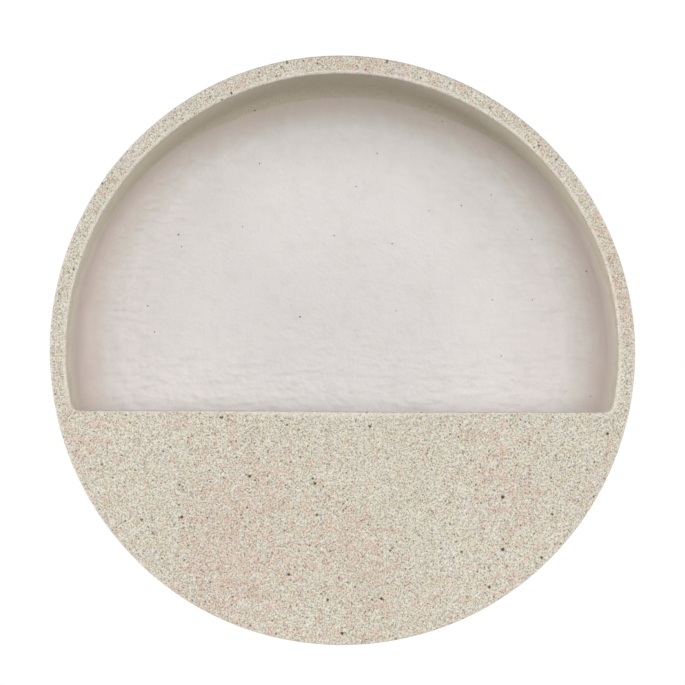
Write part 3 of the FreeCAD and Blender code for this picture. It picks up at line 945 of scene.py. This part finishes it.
def drum_section(angle, outer, opening, wall):
    """Radius and depth once around the drum's section at one angle, with each point's wear, a painted
    highlight on the lip, and cover.
    """
    front_start = (outer, FRONT + FRONT_EDGE)
    face_start = (outer - FRONT_EDGE, FRONT)
    lip_start = (opening + OPENING_EDGE, FRONT)
    rear_start = (outer - REAR_EDGE, 0)
    side_start = (outer, -REAR_EDGE)
    inside, run = inside_run(opening, wall)
    corners = ((wall, BACK_FACE), (REBATE_RADIUS, BACK_FACE), (REBATE_RADIUS, 0), rear_start)
    rebate = [(straight(*step), 0.0) for step in zip(corners, corners[1:], REBATE_ROWS)]
    lip = quarter(lip_start, (opening, FRONT), (opening, FRONT + OPENING_EDGE), EDGE_ROWS)
    parts = (
        (quarter(front_start, (outer, FRONT), face_start, EDGE_ROWS), EDGE_WEAR),
        (straight(face_start, lip_start, FRONT_FACE_ROWS), 0.0),
        # The lip's high share is wear and a painted highlight along it
        (lip, LIP_WEAR_AND_HIGHLIGHT),
        (inside, 0.0),
        *rebate,
        (quarter(rear_start, (outer, 0), side_start, EDGE_ROWS), EDGE_WEAR),
        (straight(side_start, front_start, OUTER_WALL_ROWS), 0.0),
    )
    points = np.concatenate([part for part, _ in parts])
    rubbed_and_highlit = np.concatenate([np.full(len(part), wear) for part, wear in parts])
    coated = np.full(len(points), BARE_COVER)
    start = EDGE_ROWS + FRONT_FACE_ROWS + EDGE_ROWS
    coated[start:start + len(inside)] = inside_cover(angle, run)
    return points, rubbed_and_highlit, coated


def drain_cutter():
    """The drain hole and the seat of its plug, as one stepped round bar."""
    seat = ((SEAT_RADIUS, DRAIN_BOTTOM), (SEAT_RADIUS, SEAT_TOP))
    hole = ((DRAIN_RADIUS, SEAT_TOP), (DRAIN_RADIUS, DRAIN_TOP))
    points, faces = turned_solid(seat + hole, DRAIN_SIDES)
    return new_piece("drain_cutter", points + (0, DRAIN_DEPTH, 0), faces)


def cast_drum(tree, finish):
    """Rim, apron, wall and rear edge in one casting, with the drain through its lowest point."""
    angles = drum_angles()
    measures = zip(angles, outer_radius(angles), opening_radius(angles), wall_radius(angles))
    sections, rubbed_and_highlit, coated = zip(*(drum_section(*measure) for measure in measures))
    piece = ring_piece("drum", angles, np.array(sections))
    store_number(piece, "rubbed_edge", rubbed_and_highlit)
    store_number(piece, "cover", coated)
    run_tree(tree, piece, Finish=finish, **CASTING)
    cutter = drain_cutter()
    cut = piece.modifiers.new("drain", "BOOLEAN")
    cut.object = cutter
    cut.operation = "DIFFERENCE"
    cut.solver = "EXACT"
    made_plain(piece)
    bpy.data.objects.remove(cutter)
    piece.data.set_sharp_from_angle(angle=SHARP_ANGLE)
    return finish_piece(piece, "cast_stone", "planter", "front_shell")


def stone_grains(tree, drum, finish):
    """Mineral grains that show on the stone's faces."""
    piece = add_object("stone_grains", drum.data.copy())
    run_tree(tree, piece, Finish=finish, **GRAIN_SCATTER)
    return finish_piece(piece, "cast_stone", "planter")


# Inside
def cove_section(wall):
    """Radius and depth once around the mortar bead's section, hollow on its front."""
    outer = wall + COVE_BURIED
    rear = BACK_FACE + COVE_BURIED
    foot = (wall - COVE, BACK_FACE)
    return np.concatenate([
        quarter((wall, BACK_FACE - COVE), (wall, BACK_FACE), foot, COVE_ROWS),
        [foot],
        straight((wall - COVE, rear), (outer, rear), COVE_REAR_ROWS),
        straight((outer, rear), (outer, BACK_FACE - COVE), COVE_REAR_ROWS),
        [(outer, BACK_FACE - COVE)],
    ])


def mortar_cove(tree, finish):
    """The bead that rounds the inside corner, finished as the wall is."""
    angles = np.linspace(0, 2 * math.pi, COVE_COLUMNS, endpoint=False)
    sections = np.array([cove_section(wall) for wall in wall_radius(angles)])
    piece = ring_piece("cove", angles, sections)
    turn = np.full(sections.shape[1], math.pi / 2)
    turn[:COVE_ROWS] = np.linspace(0, math.pi / 2, COVE_ROWS, endpoint=False)
    store_number(piece, "cover", coat_cover(angles[:, None], WALL_RUN + COVE * turn))
    run_tree(tree, piece, Finish=finish, **CASTING)
    return finish_piece(piece, "mortar", "planter", "cove_bead")


def disc_grid(cells):
    """Points of a square grid drawn out into a disc of radius 1, its faces and the points of its border."""
    line = np.linspace(-1, 1, cells + 1)
    across, up = np.meshgrid(line, line, indexing="ij")
    reach = np.maximum(np.abs(across), np.abs(up))
    wide = np.abs(across) >= np.abs(up)
    share = np.where(wide, up / np.where(across == 0, 1, across), across / np.where(up == 0, 1, up))
    turn = np.where(wide, share * math.pi / 4, math.pi / 2 - share * math.pi / 4)
    sign = np.where(wide, np.sign(across), np.sign(up))
    points = np.stack([sign * reach * np.cos(turn), sign * reach * np.sin(turn)], axis=-1)
    index = np.arange((cells + 1) ** 2).reshape(cells + 1, cells + 1)
    faces = np.stack([index[:-1, :-1], index[1:, :-1], index[1:, 1:], index[:-1, 1:]], axis=-1)
    border = np.concatenate([index[:-1, 0], index[-1, :-1], index[:0:-1, -1], index[0, :0:-1]])
    return points.reshape(-1, 2), faces.reshape(-1, 4).tolist(), border


def coat_face(share, angle, lift):
    """Radius, depth and bend of the coat's face at a share of its reach, lifted off back and cove."""
    flat = wall_radius(angle) - COVE
    bend = COVE - lift
    bend_end = np.arcsin((COAT_REACH - INNER_RADIUS + COVE) / COVE)
    run = share * (flat + COVE * bend_end)
    turn = np.maximum(run - flat, 0) / COVE
    radius = np.minimum(run, flat) + bend * np.sin(turn)
    depth = BACK_FACE - lift - bend * (1 - np.cos(turn))
    return radius, depth, turn


def coat_points(share, angle, lift):
    """The coat's face as points in the frame."""
    radius, depth, _ = coat_face(share, angle, lift)
    return in_frame(angle, radius, depth)


def coat_spread(share, angle, border):
    """How thick the coat lies at each point of its face, and how much of it the taper at its edge leaves."""
    radius, _, turn = coat_face(share, angle, 0)
    to_edge = (1 - share) * radius[border].mean()
    inward = np.maximum(wall_radius(angle) - COVE - radius, 0)
    cover = coat_cover(angle, WALL_RUN + COVE * (math.pi / 2 - turn) + inward)
    return cover, np.clip(to_edge / COAT_TAPER, 0, 1)


def sealing_coat(tree, finish):
    """The brushed skin over back and cove: a fine front that thins out at its edge, and a plain rear."""
    flat, faces, border = disc_grid(COAT_CELLS)
    angle = np.arctan2(flat[:, 1], flat[:, 0])
    share = np.hypot(flat[:, 0], flat[:, 1])
    cover, taper = coat_spread(share, angle, border)
    lift = COAT_THICKNESS * np.minimum(taper, cover) - COAT_SINK * (1 - taper)
    sheets = [coat_points(share, angle, lift)]
    rings = [border]
    for step in COAT_REAR_STEPS:
        rings.append(np.arange(len(border)) + sum(len(sheet) for sheet in sheets))
        sheets.append(coat_points(np.full(len(border), step), angle[border], -COAT_BURIED))
    for outer, inner in zip(rings, rings[1:]):
        faces += np.stack([outer, np.roll(outer, -1), np.roll(inner, -1), inner], axis=-1).tolist()
    faces.append(rings[-1].tolist())
    piece = new_piece("coat", np.concatenate(sheets), faces)
    behind = np.zeros(len(COAT_REAR_STEPS) * len(border))
    store_number(piece, "cover", np.concatenate([cover, behind + 1]))
    store_number(piece, "front_side", np.concatenate([taper * cover, behind]))
    run_tree(tree, piece, Finish=finish, **BRUSHING)
    return finish_piece(piece, "inner_coat", "planter", "inner_coat")


def dark_specks(name, tree, specks_seen, surface, slot, finish):
    """Dark grains caught in a surface of the inside, where the photograph shows them."""
    across, up, size = np.array(specks_seen).T * MM
    places = np.stack([CENTRE_X + across, np.full(len(size), BACK_FACE - COVE), CENTRE_Z + up], axis=1)
    piece = new_piece(name, places, [])
    store_number(piece, "speck_size", size)
    store_number(piece, "grain_tone", np.full(len(size), SPECK_TONE))
    run_tree(tree, piece, Surface=surface, Reach=2 * COVE, Finish=finish)
    return finish_piece(piece, slot, "planter")


# Rear pieces and plug
def bumper_template():
    """One soft bumper around the Y axis, slightly dished where it meets the wall."""
    face_edge = (BUMPER_RADIUS - BUMPER_EDGE, BUMPER_HEIGHT)
    side_end = (BUMPER_RADIUS, BUMPER_HEIGHT - BUMPER_EDGE)
    profile = np.concatenate([
        [(BUMPER_FOOT_RADIUS, 0), (BUMPER_RADIUS, BUMPER_FOOT_HEIGHT)],
        quarter(side_end, (BUMPER_RADIUS, BUMPER_HEIGHT), face_edge, EDGE_ROWS),
        [face_edge, (BUMPER_DISH_RADIUS, BUMPER_HEIGHT - BUMPER_DISH)],
    ])
    points, faces = turned_solid(profile, BUMPER_SIDES)
    return new_piece("bumper_template", points[:, (0, 2, 1)], faces)


def set_repeats(tree, name, template, places, finish):
    """One mesh with the template at each place; the template goes."""
    piece = new_piece(name, places, [])
    run_tree(tree, piece, Template=template, Finish=finish)
    bpy.data.objects.remove(template)
    return piece


def wall_bumpers(tree, finish):
    """The four bumpers, on the spots the solids hold."""
    nodes = ["wall_bumper_" + str(number) for number in range(1, 5)]
    places = []
    for node in nodes:
        low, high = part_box(node)
        places.append(((low.x + high.x) / 2, low.y, (low.z + high.z) / 2))
    piece = set_repeats(tree, "wall_bumpers", bumper_template(), places, finish)
    piece.data.set_sharp_from_angle(angle=BUMPER_SHARP_ANGLE)
    return finish_piece(piece, "bumper_rubber", "planter", *nodes)


def softened_copy(name, node, bevel, finish):
    """A copy of a solid with its sharp edges broken."""
    piece = add_object(name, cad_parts[node].data.copy())
    with edited(piece.data) as work:
        bmesh.ops.remove_doubles(work, verts=work.verts, dist=WELD_DISTANCE)
        bmesh.ops.dissolve_limit(work, angle_limit=FLAT_ANGLE, verts=work.verts, edges=work.edges)
    softened = piece.modifiers.new("broken_edges", "BEVEL")
    softened.width = bevel
    softened.segments = 2
    softened.limit_method = "ANGLE"
    softened.angle_limit = BEVEL_ANGLE
    made_plain(piece)
    piece.data.materials.clear()
    piece.data.materials.append(finish)
    piece.data.shade_smooth()
    piece.data.set_sharp_from_angle(angle=SHARP_ANGLE)
    return piece


def hanger_plates(finish):
    """The two keyhole plates with their punched edges broken."""
    for side in ("left", "right"):
        node = "keyhole_plate_" + side
        piece = softened_copy("hanger_" + side, node, PLATE_EDGE, finish)
        finish_piece(piece, "plated_steel", "planter", node)


def screw_places(node):
    """Where the axes of a hanger's two screws meet the rear face."""
    low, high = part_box(node)
    across = (low.x + high.x) / 2
    head = (high.x - low.x) / 2
    return [(across, 0, low.z + head), (across, 0, high.z - head)]


def screw_template(node, finish):
    """The lower screw of a hanger, from the solid, with its edges broken and its axis through the origin."""
    piece = softened_copy("screw_template", node, SCREW_EDGE, finish)
    lower, upper = (Vector(place) for place in screw_places(node))
    with edited(piece.data) as work:
        other = [point for point in work.verts if point.co.z > (lower.z + upper.z) / 2]
        bmesh.ops.delete(work, geom=other, context="VERTS")
        bmesh.ops.translate(work, verts=work.verts, vec=-lower)
    return piece


def hanger_screws(tree, finish):
    """The four screws of the hangers, one shape at four places."""
    nodes = ["plate_screws_left", "plate_screws_right"]
    places = [place for node in nodes for place in screw_places(node)]
    piece = set_repeats(tree, "hanger_screws", screw_template(nodes[0], finish), places, finish)
    piece.data.set_sharp_from_angle(angle=SHARP_ANGLE)
    return finish_piece(piece, "plated_steel", "planter", *nodes)


def rubber_plug(finish):
    """The drain plug, with the soft edges of a moulding."""
    piece = softened_copy("plug_moulding", "drain_plug", PLUG_EDGE, finish)
    return finish_piece(piece, "plug_rubber", "plug", "drain_plug")


def paint_node(node, finish):
    """A finish on a solid whose shape stays."""
    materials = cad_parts[node].data.materials
    materials.clear()
    materials.append(finish)


# Stage
def soft_lamp(name, turn, rise, size, power):
    """A square soft box aimed at the middle of the front, turned aside and raised by degrees."""
    aside, up = math.radians(turn), math.radians(rise)
    direction = Vector((math.sin(aside) * math.cos(up), -math.cos(aside) * math.cos(up), math.sin(up)))
    light = bpy.data.lights.new(name, "AREA")
    light.size = size
    light.energy = power
    lamp = add_object(name, light)
    lamp.location = Vector((CENTRE_X, FRONT, CENTRE_Z)) + LAMP_DISTANCE * direction
    lamp.rotation_euler = (-direction).to_track_quat("-Z", "Y").to_euler()


def studio_world():
    """White where the camera, gloss or glass looks out, and an even fill for everything else."""
    world = bpy.data.worlds.new("studio")
    bpy.context.scene.world = world
    world.use_nodes = True
    tree = world.node_tree
    tree.nodes.clear()
    path = add_node(tree, "ShaderNodeLightPath").outputs
    seen = maths("MAXIMUM", path["Is Camera Ray"], path["Is Glossy Ray"])
    seen = maths("MAXIMUM", seen, path["Is Transmission Ray"])
    filled, white = (
        add_node(tree, "ShaderNodeBackground", {"Color": WHITE, "Strength": strength}).outputs[0]
        for strength in (WORLD_FILL, 1.0)
    )
    shown = output("ShaderNodeMixShader", {0: seen, 1: filled, 2: white})
    fed_node("ShaderNodeOutputWorld", {"Surface": shown})


def pale_floor():
    """A plain pale floor below the planter that fades out towards its edge."""
    finish, shader, place = new_finish("pale_floor")
    tree = finish.node_tree
    colour = toned(noise(place, FLOOR_DRIFT), FLOOR_TONES)
    dress(shader, Base_Color=colour, Roughness=FLOOR_ROUGH)
    level = vector_maths("MULTIPLY", place, (1, 1, 0))
    away = fed_node("ShaderNodeVectorMath", {0: level}, operation="LENGTH").outputs["Value"]
    clear = add_node(tree, "ShaderNodeBsdfTransparent").outputs[0]
    inputs = {0: between(away, *FLOOR_FADE), 1: shader.outputs[0], 2: clear}
    shown = output("ShaderNodeMixShader", inputs)
    tree.links.new(shown, tree.nodes["Material Output"].inputs["Surface"])
    turn = np.linspace(0, 2 * math.pi, FLOOR_SIDES, endpoint=False)
    rim = [(FLOOR_REACH * math.cos(t), FLOOR_REACH * math.sin(t), FLOOR_HEIGHT) for t in turn]
    floor = new_piece("floor", rim, [tuple(range(FLOOR_SIDES))])
    floor.data.materials.append(finish)


def photo_camera():
    """Straight on, as far off as the inner wall's narrowing tells, and the planter as the photo has it."""
    data = bpy.data.cameras.new("photo_camera")
    data.sensor_width = SENSOR_WIDTH
    data.lens = SENSOR_WIDTH * CAMERA_DISTANCE / (PICTURE_PIXELS * PIXEL)
    camera = add_object("photo_camera", data)
    camera.location = (CENTRE_X + CAMERA_RIGHT, FRONT - CAMERA_DISTANCE, CENTRE_Z + CAMERA_UP)
    camera.rotation_euler = (math.pi / 2, 0, 0)
    bpy.context.scene.camera = camera


# Assembly
stone = stone_finish()
steel = metal_finish("plated_steel", bright=(172, 174, 177), dull=(140, 143, 148), rough=(0.3, 0.5))
brass = metal_finish("turned_brass", bright=(205, 170, 102), dull=(170, 136, 78), rough=(0.25, 0.45))
soft_rubber = rubber_finish("bumper_rubber", pale=(206, 206, 203), dark=(184, 184, 180), rough=(0.45, 0.65))
plug_rubber = rubber_finish("plug_rubber", pale=(66, 65, 63), dark=(40, 40, 39), rough=(0.55, 0.8))
back_stone = mortar_finish("back_stone", pale=(203, 195, 180), dark=(188, 179, 163))
seam = mortar_finish("seam_mortar", pale=(190, 183, 170), dark=(172, 164, 150))

casting = casting_tree()
drum = cast_drum(casting, stone)
grain = grain_finish()
stone_grains(grains_tree(), drum, grain)
cove = mortar_cove(casting, stone)
coat = sealing_coat(brushing_tree(), stone)
speck_setting = specks_tree()
dark_specks("coat_specks", speck_setting, COAT_SPECKS, coat, "inner_coat", grain)
dark_specks("cove_specks", speck_setting, COVE_SPECKS, cove, "mortar", grain)
repeating = repeating_tree()
wall_bumpers(repeating, soft_rubber)
hanger_plates(steel)
hanger_screws(repeating, steel)
rubber_plug(plug_rubber)
paint_node("back_plate", back_stone)
paint_node("seam_mortar", seam)
for hanger_side in ("left", "right"):
    paint_node("screw_inserts_" + hanger_side, brass)

for lamp_values in LAMPS:
    soft_lamp(*lamp_values)
studio_world()
pale_floor()
photo_camera()
bpy.context.scene.view_settings.view_transform = "Standard"
